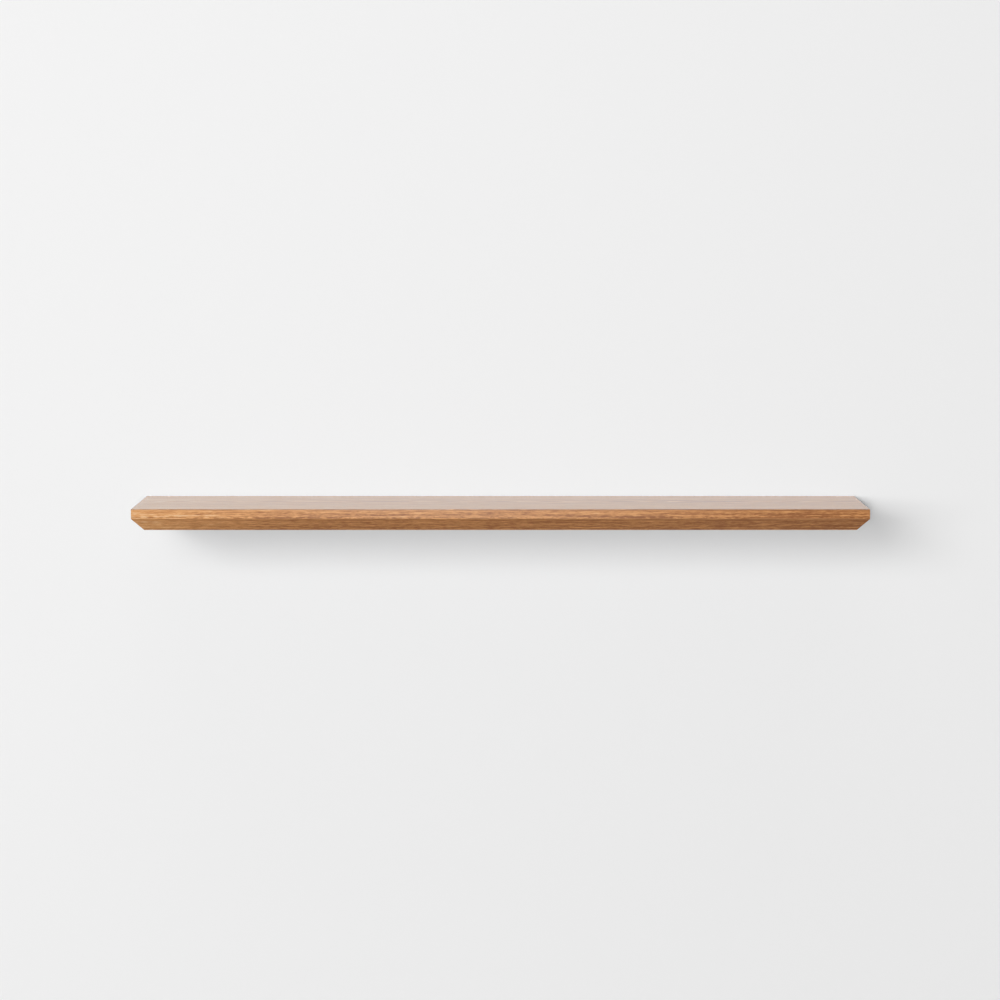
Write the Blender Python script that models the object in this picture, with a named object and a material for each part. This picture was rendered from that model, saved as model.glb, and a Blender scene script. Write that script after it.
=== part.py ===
"""Floating wall shelf with undercut front and ends, carried on a hidden steel bracket.

The board is a lumber core of glued staves, lipped in solid wood on the front and both ends and
veneered above and below. It slides onto four rods that stand out of a wall plate, and two lock
screws in its underside hold it there. The wall plate is screwed through to plugs in the wall.

Metres, +Z up. The origin is on the wall, at the middle of the wall plate's back: the wall is the
plane y = 0, the shelf reaches out along -Y, and its mid-thickness is the plane z = 0.
"""
import math

import bmesh
import bpy
from mathutils import Matrix, Vector

MM = 0.001

# Board, outside
BOARD_LENGTH = 914 * MM
BOARD_DEPTH = 203 * MM
BOARD_THICKNESS = 27 * MM
UNDERCUT = 15 * MM  # both legs of the 45 degree bevel under the front and the ends

# Board, make-up
VENEER_THICKNESS = 0.6 * MM
GLUE_LINE = 0.1 * MM
LIPPING_HEEL = 3 * MM  # flat left under a lipping, between its bevel and the core
STAVE_COUNT = 5
SPLINE_WIDTH = 12 * MM
SPLINE_THICKNESS = 4 * MM
SPLINE_CLEARANCE = 0.2 * MM
SPLINE_END_STOP = 20 * MM  # from the core's corners to a spline's end

# Wall plate, let into the back of the board
PLATE_THICKNESS = 5 * MM
PLATE_END_COVER = 127 * MM  # wood beyond each end of the plate
PLATE_EDGE_COVER = 3.5 * MM  # wood above and below the plate
PLATE_CORNER_RADIUS = 3 * MM
CHANNEL_CLEARANCE = 0.3 * MM

# Rods, riveted and welded into the plate
ROD_COUNT = 4
ROD_DIAMETER = 12 * MM
ROD_FRONT_COVER = 48 * MM  # wood between a rod's tip and the front face
ROD_TIP_CHAMFER = 1.5 * MM
ROD_SHOULDER = 1.5 * MM  # step down from the rod to the spigot that passes through the plate
ROD_SPIGOT_CLEARANCE = 0.3 * MM
ROD_SPIGOT_SETBACK = 0.2 * MM  # spigot's end behind the plate's back face
WELD_LEG = 1.5 * MM
WELD_SEAT_GAP = 0.2 * MM
ROD_BORE_CLEARANCE = 0.3 * MM
ROD_BORE_END_SPACE = 2 * MM
DRILL_POINT_LENGTH = 3 * MM

# Wall screws and their plugs
SCREW_LENGTH = 60 * MM
SCREW_SHANK_DIAMETER = 5 * MM
SCREW_HEAD_DIAMETER = 9.5 * MM
SCREW_HEAD_RIM = 0.4 * MM
SCREW_HEAD_SETBACK = 0.2 * MM  # head's top below the plate's front face
SCREW_POINT_LENGTH = 8 * MM
SCREW_CLEARANCE = 0.3 * MM
SCREW_END_MARGIN = 25.2 * MM  # from the plate's end to its outer screw
SCREW_PITCH = 101.6 * MM  # outer screw to inner screw, so the inner pair spans studs 406.4 mm apart
ROD_INSET = 38.1 * MM  # outer screw to outer rod
RECESS_WIDTH = 1.1 * MM
RECESS_SPAN = 4.6 * MM
RECESS_DEPTH = 1.6 * MM
PLUG_LENGTH = 50 * MM
PLUG_WALL = 1.2 * MM
PLUG_SETBACK = 2.5 * MM  # plug's mouth behind the wall's surface
PLUG_BORE_CLEARANCE = 0.3 * MM
PLUG_COLLAR_LENGTH = 12 * MM
PLUG_TIP_LENGTH = 6 * MM
PLUG_TIP_TAPER = 0.5 * MM
PLUG_TOOTH_COUNT = 6
PLUG_TOOTH_DEPTH = 0.5 * MM
PLUG_SLOT_WIDTH = 1.2 * MM

# Lock screws and the threaded inserts that they turn in
LOCK_SCREW_DIAMETER = 6 * MM
LOCK_SCREW_TIP_GAP = 0.3 * MM
LOCK_SCREW_TIP_CHAMFER = 0.8 * MM
LOCK_SCREW_SETBACK = 1 * MM  # screw's end above the underside
LOCK_WALL_DISTANCE = 28 * MM
LOCK_THREAD_CLEARANCE = 0.3 * MM
HEX_ACROSS_FLATS = 3 * MM
HEX_DEPTH = 2.5 * MM
INSERT_WALL = 1.3 * MM
INSERT_FLANGE_WIDTH = 1.4 * MM
INSERT_FLANGE_THICKNESS = 0.8 * MM
INSERT_FLANGE_SETBACK = 0.2 * MM
INSERT_ROD_GAP = 0.7 * MM
INSERT_HOLE_CLEARANCE = 0.3 * MM

# Cutters reach this far past the face that they open
OVERRUN = 5 * MM

# Smoothness of turned pieces and of rounded corners
ROD_SIDES = 32
FASTENER_SIDES = 24
CORNER_STEPS = 5
SMOOTH_ANGLE = math.radians(35)
CIRCLE_DECIMALS = 12

# Places that follow from the sizes above
TOP_Z = BOARD_THICKNESS / 2
UNDERSIDE_Z = -BOARD_THICKNESS / 2
END_X = BOARD_LENGTH / 2
FRONT_Y = -BOARD_DEPTH
KNEE_Z = UNDERSIDE_Z + UNDERCUT
LIPPING_WIDTH = UNDERCUT + LIPPING_HEEL
CORE_TOP_Z = TOP_Z - VENEER_THICKNESS - GLUE_LINE
CORE_UNDERSIDE_Z = UNDERSIDE_Z + VENEER_THICKNESS + GLUE_LINE
CORE_END_X = END_X - LIPPING_WIDTH - GLUE_LINE
CORE_FRONT_Y = FRONT_Y + LIPPING_WIDTH + GLUE_LINE
PLATE_LENGTH = BOARD_LENGTH - 2 * PLATE_END_COVER
PLATE_HEIGHT = BOARD_THICKNESS - 2 * PLATE_EDGE_COVER
ROD_RADIUS = ROD_DIAMETER / 2
SPIGOT_RADIUS = ROD_RADIUS - ROD_SHOULDER
ROD_TIP_Y = FRONT_Y + ROD_FRONT_COVER
OUTER_SCREW_X = PLATE_LENGTH / 2 - SCREW_END_MARGIN
OUTER_ROD_X = OUTER_SCREW_X - ROD_INSET
ROD_PITCH = 2 * OUTER_ROD_X / (ROD_COUNT - 1)
ROD_XS = [-OUTER_ROD_X + ROD_PITCH * n for n in range(ROD_COUNT)]
INNER_SCREW_X = OUTER_SCREW_X - SCREW_PITCH
SCREW_XS = [-OUTER_SCREW_X, -INNER_SCREW_X, INNER_SCREW_X, OUTER_SCREW_X]
LOCK_SCREW_XS = {"left": -OUTER_ROD_X, "right": OUTER_ROD_X}

# Quarter turns that lay a turned piece's own +Z out from the wall or into it. Whole numbers keep
# its sides exactly parallel to Y, so that its cuts through flat faces leave no slivers.
OUT_OF_WALL = Matrix(((1, 0, 0, 0), (0, 0, -1, 0), (0, 1, 0, 0), (0, 0, 0, 1)))
INTO_WALL = Matrix(((1, 0, 0, 0), (0, 0, 1, 0), (0, -1, 0, 0), (0, 0, 0, 1)))


def clear_scene():
    for obj in list(bpy.data.objects):
        bpy.data.objects.remove(obj, do_unlink=True)


def material(name, colour, roughness, metallic=0.0):
    made = bpy.data.materials.new(name)
    made.use_nodes = True
    shader = made.node_tree.nodes["Principled BSDF"]
    shader.inputs["Base Color"].default_value = (*colour, 1)
    shader.inputs["Roughness"].default_value = roughness
    shader.inputs["Metallic"].default_value = metallic
    return made


def body(name):
    """An empty at the origin that carries the pieces which move together."""
    empty = bpy.data.objects.new(name, None)
    bpy.context.scene.collection.objects.link(empty)
    return empty


def add_object(name, mesh, parent=None, finish=None, location=(0, 0, 0)):
    obj = bpy.data.objects.new(name, mesh)
    bpy.context.scene.collection.objects.link(obj)
    obj.parent = parent
    obj.location = location
    if finish and not mesh.materials:
        mesh.materials.append(finish)
    return obj


def mesh_from(name, corners, faces):
    """A mesh of these corners and faces, with its faces turned to point outwards."""
    mesh = bpy.data.meshes.new(name)
    mesh.from_pydata([tuple(corner) for corner in corners], [], faces)
    build = bmesh.new()
    build.from_mesh(mesh)
    bmesh.ops.recalc_face_normals(build, faces=build.faces)
    build.to_mesh(mesh)
    build.free()
    return mesh


def box_mesh(name, low, high):
    """A box between two opposite corners."""
    build = bmesh.new()
    bmesh.ops.create_cube(build, size=1)
    size = Vector(high) - Vector(low)
    middle = (Vector(high) + Vector(low)) / 2
    bmesh.ops.scale(build, vec=size, verts=build.verts)
    bmesh.ops.translate(build, vec=middle, verts=build.verts)
    mesh = bpy.data.meshes.new(name)
    build.to_mesh(mesh)
    build.free()
    return mesh


def prism_mesh(name, first_end, second_end):
    """A solid between two outlines with as many corners each, joined corner to corner."""
    count = len(first_end)
    sides = [(i, (i + 1) % count, (i + 1) % count + count, i + count) for i in range(count)]
    caps = [tuple(reversed(range(count))), tuple(range(count, 2 * count))]
    return mesh_from(name, first_end + second_end, sides + caps)


def unit_circle(sides):
    """Points round a circle of radius 1, rounded so that those on its axes are exactly there."""
    points = []
    for i in range(sides):
        turn = 2 * math.pi * i / sides
        points.append((round(math.cos(turn), CIRCLE_DECIMALS), round(math.sin(turn), CIRCLE_DECIMALS)))
    return points


def turned_mesh(name, profile, sides, lay=None):
    """A profile of (radius, height) points turned round Z, then laid along another axis if asked.

    Points on the axis close the ends. A profile that never meets the axis is closed on itself.
    """
    circle = unit_circle(sides)
    corners = []
    rings = []
    for radius, height in profile:
        points = circle if radius > 0 else [(0, 0)]
        rings.append([len(corners) + i for i in range(len(points))])
        corners += [(radius * x, radius * y, height) for x, y in points]
    solid = len(rings[0]) == 1
    pairs = list(zip(rings, rings[1:])) if solid else list(zip(rings, rings[1:] + rings[:1]))
    faces = []
    for low, high in pairs:
        for i in range(sides):
            j = (i + 1) % sides
            quad = [low[i % len(low)], low[j % len(low)], high[j % len(high)], high[i % len(high)]]
            faces.append(tuple(dict.fromkeys(quad)))
    mesh = mesh_from(name, corners, faces)
    if lay:
        mesh.transform(lay)
    mesh.shade_smooth()
    mesh.set_sharp_from_angle(angle=SMOOTH_ANGLE)
    return mesh


def joined_mesh(name, placed):
    """One mesh of several (mesh, place) pairs that don't touch each other."""
    build = bmesh.new()
    for mesh, place in placed:
        before = len(build.verts)
        build.from_mesh(mesh)
        build.verts.ensure_lookup_table()
        bmesh.ops.translate(build, vec=place, verts=build.verts[before:])
    joined = bpy.data.meshes.new(name)
    build.to_mesh(joined)
    build.free()
    return joined


def cutter(mesh):
    """A helper that only removes material, and is no part of the shelf."""
    obj = add_object("cutter_" + mesh.name, mesh)
    obj.hide_render = True
    obj.display_type = "WIRE"
    return obj


def cut(obj, cutters):
    for tool in cutters:
        modifier = obj.modifiers.new(tool.name, "BOOLEAN")
        modifier.operation = "DIFFERENCE"
        modifier.solver = "EXACT"
        modifier.object = tool
    return obj


def cut_mesh(name, mesh, tools, lay=None):
    """What is left of a mesh once the tools' meshes are cut from it, for copies to share."""
    blank = cut(cutter(mesh), [cutter(tool) for tool in tools])
    bpy.context.view_layer.update()
    evaluated = blank.evaluated_get(bpy.context.evaluated_depsgraph_get())
    made = bpy.data.meshes.new_from_object(evaluated)
    made.name = name
    if lay:
        made.transform(lay)
    for helper in [blank] + [modifier.object for modifier in blank.modifiers]:
        bpy.data.objects.remove(helper, do_unlink=True)
    return made


# Lippings

def lipping_section():
    """The lipping's outline as (setback from the outer face, height), from the top outer arris down."""
    return [
        (0, CORE_TOP_Z),
        (0, KNEE_Z),
        (UNDERCUT - VENEER_THICKNESS - GLUE_LINE, CORE_UNDERSIDE_Z),
        (LIPPING_WIDTH, CORE_UNDERSIDE_Z),
        (LIPPING_WIDTH, CORE_TOP_Z),
    ]


def front_lipping(shelf, wood, groove):
    """Runs the whole length and is mitred into the end lippings."""
    mitre_x = END_X - GLUE_LINE
    ends = []
    for side in (-1, 1):
        ends.append([(side * (mitre_x - back), FRONT_Y + back, z) for back, z in lipping_section()])
    mesh = prism_mesh("front_lipping", *ends)
    cut(add_object("front_lipping", mesh, shelf, wood), [groove])


def end_lipping(name, side, shelf, wood, groove):
    """Runs from the mitre at the front to a square cut at the wall."""
    mitre = [(side * (END_X - back), FRONT_Y + back, z) for back, z in lipping_section()]
    square = [(side * (END_X - back), 0, z) for back, z in lipping_section()]
    mesh = prism_mesh(name, mitre, square)
    cut(add_object(name, mesh, shelf, wood), [groove])


# Core, splines and veneers

def core_staves(shelf, wood, cutters):
    """Staves glued edge to edge, numbered from the wall outwards."""
    depth = -CORE_FRONT_Y
    pitch = (depth + GLUE_LINE) / STAVE_COUNT
    for n in range(STAVE_COUNT):
        back_y = -pitch * n
        front_y = back_y - pitch + GLUE_LINE
        name = f"core_stave_{n + 1}"
        low = (-CORE_END_X, front_y, CORE_UNDERSIDE_Z)
        high = (CORE_END_X, back_y, CORE_TOP_Z)
        cut(add_object(name, box_mesh(name, low, high), shelf, wood), cutters)


def spline_boxes():
    """Each spline's lowest and highest corner by its name: one along the front, one along each end."""
    half_width = SPLINE_WIDTH / 2
    half_thickness = SPLINE_THICKNESS / 2
    joint_x = CORE_END_X + GLUE_LINE / 2
    joint_y = CORE_FRONT_Y - GLUE_LINE / 2
    reach_x = CORE_END_X - SPLINE_END_STOP
    reach_y = CORE_FRONT_Y + SPLINE_END_STOP
    boxes = {
        "front_spline": (
            (-reach_x, joint_y - half_width, -half_thickness),
            (reach_x, joint_y + half_width, half_thickness),
        )
    }
    for name, side in (("left_spline", -1), ("right_spline", 1)):
        boxes[name] = (
            (side * joint_x - half_width, reach_y, -half_thickness),
            (side * joint_x + half_width, -SPLINE_END_STOP, half_thickness),
        )
    return boxes


def spline_grooves():
    """Cutters a little larger than the splines all round."""
    spare = Vector((SPLINE_CLEARANCE, SPLINE_CLEARANCE, SPLINE_CLEARANCE))
    grooves = {}
    for name, (low, high) in spline_boxes().items():
        grooves[name] = cutter(box_mesh(name + "_groove", Vector(low) - spare, Vector(high) + spare))
    return grooves


def splines(shelf, plywood):
    for name, (low, high) in spline_boxes().items():
        add_object(name, box_mesh(name, low, high), shelf, plywood)


def top_veneer(shelf, wood):
    low = (-END_X, FRONT_Y, TOP_Z - VENEER_THICKNESS)
    high = (END_X, 0, TOP_Z)
    add_object("top_veneer", box_mesh("top_veneer", low, high), shelf, wood)


def bottom_veneer(shelf, wood, insert_holes):
    """Its front and end edges carry on the 45 degree bevel of the lippings."""
    layers = []
    for rise in (0, VENEER_THICKNESS):
        x = END_X - UNDERCUT + rise
        y = FRONT_Y + UNDERCUT - rise
        z = UNDERSIDE_Z + rise
        layers.append([(-x, y, z), (x, y, z), (x, 0, z), (-x, 0, z)])
    mesh = prism_mesh("bottom_veneer", *layers)
    cut(add_object("bottom_veneer", mesh, shelf, wood), [insert_holes])


# Recesses that the hardware needs in the board

def channel_cutter():
    """The recess along the board's back that hides the wall plate."""
    half_length = PLATE_LENGTH / 2 + CHANNEL_CLEARANCE
    half_height = PLATE_HEIGHT / 2 + CHANNEL_CLEARANCE
    low = (-half_length, -PLATE_THICKNESS - CHANNEL_CLEARANCE, -half_height)
    high = (half_length, OVERRUN, half_height)
    return cutter(box_mesh("channel", low, high))


def rod_bores_cutter():
    """Stepped bores: a wide mouth clears the weld and the rest guides the rod."""
    mouth = ROD_RADIUS + WELD_LEG + ROD_BORE_CLEARANCE
    mouth_end = PLATE_THICKNESS + WELD_SEAT_GAP + WELD_LEG + ROD_BORE_CLEARANCE
    bore = ROD_RADIUS + ROD_BORE_CLEARANCE
    bore_end = -ROD_TIP_Y + ROD_BORE_END_SPACE
    profile = [
        (0, -OVERRUN),
        (mouth, -OVERRUN),
        (mouth, mouth_end),
        (bore, mouth_end),
        (bore, bore_end),
        (0, bore_end + DRILL_POINT_LENGTH),
    ]
    mesh = turned_mesh("rod_bore", profile, ROD_SIDES, OUT_OF_WALL)
    return cutter(joined_mesh("rod_bores", [(mesh, (x, 0, 0)) for x in ROD_XS]))


def insert_holes_cutter():
    """Holes from the underside up into the outer rods' bores, stepped for the insert's flange."""
    body_radius = LOCK_SCREW_DIAMETER / 2 + LOCK_THREAD_CLEARANCE + INSERT_WALL + INSERT_HOLE_CLEARANCE
    flange_radius = body_radius + INSERT_FLANGE_WIDTH
    step = INSERT_FLANGE_SETBACK + INSERT_FLANGE_THICKNESS + INSERT_HOLE_CLEARANCE
    profile = [
        (0, -OVERRUN),
        (flange_radius, -OVERRUN),
        (flange_radius, step),
        (body_radius, step),
        (body_radius, BOARD_THICKNESS / 2),
        (0, BOARD_THICKNESS / 2),
    ]
    mesh = turned_mesh("insert_hole", profile, FASTENER_SIDES)
    places = [(x, -LOCK_WALL_DISTANCE, UNDERSIDE_Z) for x in LOCK_SCREW_XS.values()]
    return cutter(joined_mesh("insert_holes", [(mesh, place) for place in places]))


# Wall bracket

def rounded_outline(half_length, half_height, radius, y):
    """A rectangle with round corners in the plane y, as a list of points."""
    points = []
    for corner, (side_x, side_z) in enumerate(((1, 1), (-1, 1), (-1, -1), (1, -1))):
        centre_x = side_x * (half_length - radius)
        centre_z = side_z * (half_height - radius)
        for step in range(CORNER_STEPS + 1):
            turn = (corner + step / CORNER_STEPS) * math.pi / 2
            points.append((centre_x + radius * math.cos(turn), y, centre_z + radius * math.sin(turn)))
    return points


def countersink_cutter_mesh():
    """A screw's clearance hole with its 90 degree countersink, from the plate's front inwards."""
    head = SCREW_HEAD_DIAMETER / 2 + SCREW_CLEARANCE
    shank = SCREW_SHANK_DIAMETER / 2 + SCREW_CLEARANCE
    rim = SCREW_HEAD_SETBACK + SCREW_HEAD_RIM
    end = PLATE_THICKNESS + OVERRUN
    profile = [
        (0, -OVERRUN),
        (head, -OVERRUN),
        (head, rim),
        (shank, rim + head - shank),
        (shank, end),
        (0, end),
    ]
    return turned_mesh("countersink", profile, FASTENER_SIDES, INTO_WALL)


def wall_plate(bracket, steel):
    back, front = [
        rounded_outline(PLATE_LENGTH / 2, PLATE_HEIGHT / 2, PLATE_CORNER_RADIUS, y)
        for y in (0, -PLATE_THICKNESS)
    ]
    mesh = prism_mesh("wall_plate", back, front)
    spigot = SPIGOT_RADIUS + ROD_SPIGOT_CLEARANCE
    end = PLATE_THICKNESS + OVERRUN
    hole_profile = [(0, -OVERRUN), (spigot, -OVERRUN), (spigot, end), (0, end)]
    spigot_hole = turned_mesh("spigot_hole", hole_profile, FASTENER_SIDES, OUT_OF_WALL)
    countersink = countersink_cutter_mesh()
    holes = [(spigot_hole, (x, 0, 0)) for x in ROD_XS]
    holes += [(countersink, (x, -PLATE_THICKNESS, 0)) for x in SCREW_XS]
    cut(add_object("wall_plate", mesh, bracket, steel), [cutter(joined_mesh("plate_holes", holes))])


def rods(bracket, steel):
    """Each rod is one bar: a spigot through the plate, a weld fillet at its root, and a chamfered tip."""
    root = PLATE_THICKNESS + WELD_SEAT_GAP
    tip = -ROD_TIP_Y
    profile = [
        (0, ROD_SPIGOT_SETBACK),
        (SPIGOT_RADIUS, ROD_SPIGOT_SETBACK),
        (SPIGOT_RADIUS, root),
        (ROD_RADIUS + WELD_LEG, root),
        (ROD_RADIUS, root + WELD_LEG),
        (ROD_RADIUS, tip - ROD_TIP_CHAMFER),
        (ROD_RADIUS - ROD_TIP_CHAMFER, tip),
        (0, tip),
    ]
    mesh = turned_mesh("rod", profile, ROD_SIDES, OUT_OF_WALL)
    for n, x in enumerate(ROD_XS):
        add_object(f"rod_{n + 1}", mesh, bracket, steel, (x, 0, 0))


def cross_recess_mesh():
    """A plus-shaped pocket for a screw's head, narrowing towards its bottom."""
    arm = RECESS_SPAN / 2
    half = RECESS_WIDTH / 2
    outline = []
    for quarter in range(4):
        turn = quarter * math.pi / 2
        for along, across in ((half, -half), (arm, -half), (arm, half)):
            x = along * math.cos(turn) - across * math.sin(turn)
            y = along * math.sin(turn) + across * math.cos(turn)
            outline.append((x, y))
    mouth = [(x, y, -OVERRUN) for x, y in outline]
    rim = [(x, y, 0) for x, y in outline]
    floor_share = half / arm
    floor = [(x * floor_share, y * floor_share, RECESS_DEPTH) for x, y in outline]
    count = len(outline)
    faces = [tuple(range(count)), tuple(range(2 * count, 3 * count))]
    for start in (0, count):
        for i in range(count):
            j = (i + 1) % count
            faces.append((start + i, start + j, start + count + j, start + count + i))
    return mesh_from("cross_recess", mouth + rim + floor, faces)


def wall_screws(bracket, zinc):
    """Countersunk wood screws. Their own height runs from the head's top to the point."""
    head = SCREW_HEAD_DIAMETER / 2
    shank = SCREW_SHANK_DIAMETER / 2
    profile = [
        (0, 0),
        (head, 0),
        (head, SCREW_HEAD_RIM),
        (shank, SCREW_HEAD_RIM + head - shank),
        (shank, SCREW_LENGTH - SCREW_POINT_LENGTH),
        (0, SCREW_LENGTH),
    ]
    blank = turned_mesh("wall_screw", profile, FASTENER_SIDES)
    mesh = cut_mesh("wall_screw", blank, [cross_recess_mesh()], INTO_WALL)
    head_y = -PLATE_THICKNESS + SCREW_HEAD_SETBACK
    for n, x in enumerate(SCREW_XS):
        add_object(f"wall_screw_{n + 1}", mesh, bracket, zinc, (x, head_y, 0))


def wall_plugs(bracket, nylon):
    """Expanding plugs: a plain collar, a toothed barrel, and a tapered tip split by two slots."""
    bore = SCREW_SHANK_DIAMETER / 2 + PLUG_BORE_CLEARANCE
    radius = bore + PLUG_WALL
    barrel = PLUG_LENGTH - PLUG_COLLAR_LENGTH - PLUG_TIP_LENGTH
    profile = [(bore, 0), (radius, 0)]
    for tooth in range(PLUG_TOOTH_COUNT):
        start = PLUG_COLLAR_LENGTH + barrel * tooth / PLUG_TOOTH_COUNT
        profile += [(radius, start), (radius - PLUG_TOOTH_DEPTH, start + PLUG_TOOTH_DEPTH)]
    tip = radius - PLUG_TIP_TAPER
    profile += [(radius, PLUG_LENGTH - PLUG_TIP_LENGTH), (tip, PLUG_LENGTH), (bore, PLUG_LENGTH)]
    blank = turned_mesh("wall_plug", profile, FASTENER_SIDES)
    half = PLUG_SLOT_WIDTH / 2
    reach = radius + OVERRUN
    end = PLUG_LENGTH + OVERRUN
    slots = [
        box_mesh("slot", (-half, -reach, PLUG_COLLAR_LENGTH), (half, reach, end)),
        box_mesh("slot", (-reach, -half, PLUG_COLLAR_LENGTH), (reach, half, end)),
    ]
    mesh = cut_mesh("wall_plug", blank, slots, INTO_WALL)
    for n, x in enumerate(SCREW_XS):
        add_object(f"wall_plug_{n + 1}", mesh, bracket, nylon, (x, PLUG_SETBACK, 0))


# Locks

def threaded_inserts(shelf, brass):
    """Flanged bushes in the underside, just short of the rods above them."""
    bore = LOCK_SCREW_DIAMETER / 2 + LOCK_THREAD_CLEARANCE
    wall = bore + INSERT_WALL
    flange = wall + INSERT_FLANGE_WIDTH
    base = INSERT_FLANGE_SETBACK
    step = base + INSERT_FLANGE_THICKNESS
    top = BOARD_THICKNESS / 2 - ROD_RADIUS - INSERT_ROD_GAP
    profile = [(bore, base), (flange, base), (flange, step), (wall, step), (wall, top), (bore, top)]
    mesh = turned_mesh("threaded_insert", profile, FASTENER_SIDES)
    for name, x in LOCK_SCREW_XS.items():
        add_object(f"threaded_insert_{name}", mesh, shelf, brass, (x, -LOCK_WALL_DISTANCE, UNDERSIDE_Z))


def lock_screws(shelf, black_steel):
    """Headless screws with a hexagon socket below and a flat tip that bears on the rod."""
    radius = LOCK_SCREW_DIAMETER / 2
    tip = BOARD_THICKNESS / 2 - ROD_RADIUS - LOCK_SCREW_TIP_GAP
    shoulder = tip - LOCK_SCREW_TIP_CHAMFER
    end = LOCK_SCREW_SETBACK
    profile = [
        (0, end),
        (radius, end),
        (radius, shoulder),
        (radius - LOCK_SCREW_TIP_CHAMFER, tip),
        (0, tip),
    ]
    blank = turned_mesh("lock_screw", profile, FASTENER_SIDES)
    corner = HEX_ACROSS_FLATS / math.sqrt(3)
    mouth = end - OVERRUN
    floor = end + HEX_DEPTH
    socket = turned_mesh("hex_socket", [(0, mouth), (corner, mouth), (corner, floor), (0, floor)], 6)
    mesh = cut_mesh("lock_screw", blank, [socket])
    for name, x in LOCK_SCREW_XS.items():
        axis = body(f"lock_axis_{name}")
        axis.parent = shelf
        axis.location = (x, -LOCK_WALL_DISTANCE, UNDERSIDE_Z)
        add_object(f"lock_screw_{name}", mesh, axis, black_steel)


def build():
    clear_scene()
    hardwood = material("stained_hardwood", (0.56, 0.285, 0.13), 0.45)
    veneer = material("face_veneer", (0.56, 0.285, 0.13), 0.4)
    lumber = material("core_lumber", (0.68, 0.5, 0.3), 0.7)
    plywood = material("spline_plywood", (0.72, 0.55, 0.36), 0.7)
    coated_steel = material("powder_coated_steel", (0.03, 0.03, 0.032), 0.55, 0.2)
    zinc = material("zinc_plated_steel", (0.62, 0.62, 0.6), 0.3, 1.0)
    nylon = material("grey_nylon", (0.42, 0.43, 0.44), 0.55)
    brass = material("brass", (0.72, 0.5, 0.2), 0.3, 1.0)
    black_steel = material("black_oxide_steel", (0.05, 0.05, 0.055), 0.4, 1.0)

    bracket = body("wall_bracket")
    shelf = body("shelf")

    grooves = spline_grooves()
    insert_holes = insert_holes_cutter()
    front_lipping(shelf, hardwood, grooves["front_spline"])
    end_lipping("left_lipping", -1, shelf, hardwood, grooves["left_spline"])
    end_lipping("right_lipping", 1, shelf, hardwood, grooves["right_spline"])
    core_staves(shelf, lumber, [channel_cutter(), rod_bores_cutter(), insert_holes, *grooves.values()])
    splines(shelf, plywood)
    top_veneer(shelf, veneer)
    bottom_veneer(shelf, veneer, insert_holes)
    threaded_inserts(shelf, brass)
    lock_screws(shelf, black_steel)

    wall_plate(bracket, coated_steel)
    rods(bracket, coated_steel)
    wall_screws(bracket, zinc)
    wall_plugs(bracket, nylon)


build()
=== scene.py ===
from math import pi, radians

import bmesh
import bpy
import numpy as np
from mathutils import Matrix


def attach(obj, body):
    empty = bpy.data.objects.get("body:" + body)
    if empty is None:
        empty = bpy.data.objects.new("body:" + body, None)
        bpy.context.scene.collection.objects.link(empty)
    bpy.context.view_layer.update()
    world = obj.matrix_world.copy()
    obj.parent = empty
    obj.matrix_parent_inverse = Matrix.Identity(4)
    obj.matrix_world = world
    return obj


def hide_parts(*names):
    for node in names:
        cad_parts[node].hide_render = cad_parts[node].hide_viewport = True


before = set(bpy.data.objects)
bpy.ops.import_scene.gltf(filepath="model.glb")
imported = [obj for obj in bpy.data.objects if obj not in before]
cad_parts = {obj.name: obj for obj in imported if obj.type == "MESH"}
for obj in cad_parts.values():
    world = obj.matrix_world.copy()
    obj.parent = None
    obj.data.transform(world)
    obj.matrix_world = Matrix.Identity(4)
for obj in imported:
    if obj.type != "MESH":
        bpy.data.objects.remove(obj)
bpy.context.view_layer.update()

# The view. The board is seen from the middle of the room, 4.7 m off the wall and 0.4 m above the
# shelf, through a long lens that keeps its edges nearly parallel.
MM = 0.001
LENS, FILM_WIDTH, TILT_DOWN, EYE = 130.3, 36.0, 4.742, (-0.0006, -4.660, 0.3948)
camera_lens = bpy.data.cameras.new("front_view")
camera_lens.lens = LENS
camera_lens.sensor_width = FILM_WIDTH
camera = bpy.data.objects.new("front_view", camera_lens)
camera.location = EYE
camera.rotation_euler = (radians(90.0 - TILT_DOWN), 0.0, 0.0)
bpy.context.scene.collection.objects.link(camera)
bpy.context.scene.camera = camera
bpy.context.scene.view_settings.view_transform = "Standard"


# The room. A pale painted wall that the board hangs on, and a pale floor. Each is a single sheet that
# is clear from its far side, so that the board can be seen from behind and from below. The wall's
# sheet stands just before the plate's back, so that light from behind reaches the rods' ends too.
def add_node(tree, kind, inputs=(), **settings):
    """A shader node with its settings made; each input is linked to a socket or set to a value."""
    node = tree.nodes.new(kind)
    for name, value in settings.items():
        setattr(node, name, value)
    for name, value in dict(inputs).items():
        if isinstance(value, bpy.types.NodeSocket):
            tree.links.new(value, node.inputs[name])
        else:
            node.inputs[name].default_value = value
    return node


def reckon(tree, operation, first, second=0.0, third=0.0):
    """One arithmetic step in a shader."""
    return add_node(tree, "ShaderNodeMath", {0: first, 1: second, 2: third}, operation=operation).outputs[0]


def span(tree, value, low, high, to_low=0.0, to_high=1.0, kind="SMOOTHSTEP"):
    """Carries a value from one range to another, held at both ends."""
    ranges = {"Value": value, "From Min": low, "From Max": high, "To Min": to_low, "To Max": to_high}
    return add_node(tree, "ShaderNodeMapRange", ranges, interpolation_type=kind).outputs["Result"]


def blend_colours(tree, share, first, second):
    """Two colours blended by a share from 0 to 1."""
    return add_node(tree, "ShaderNodeMix", {0: share, 6: first, 7: second}, data_type="RGBA").outputs[2]


def grey(shade):
    """A neutral colour of one shade."""
    return (shade, shade, shade, 1.0)


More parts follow.
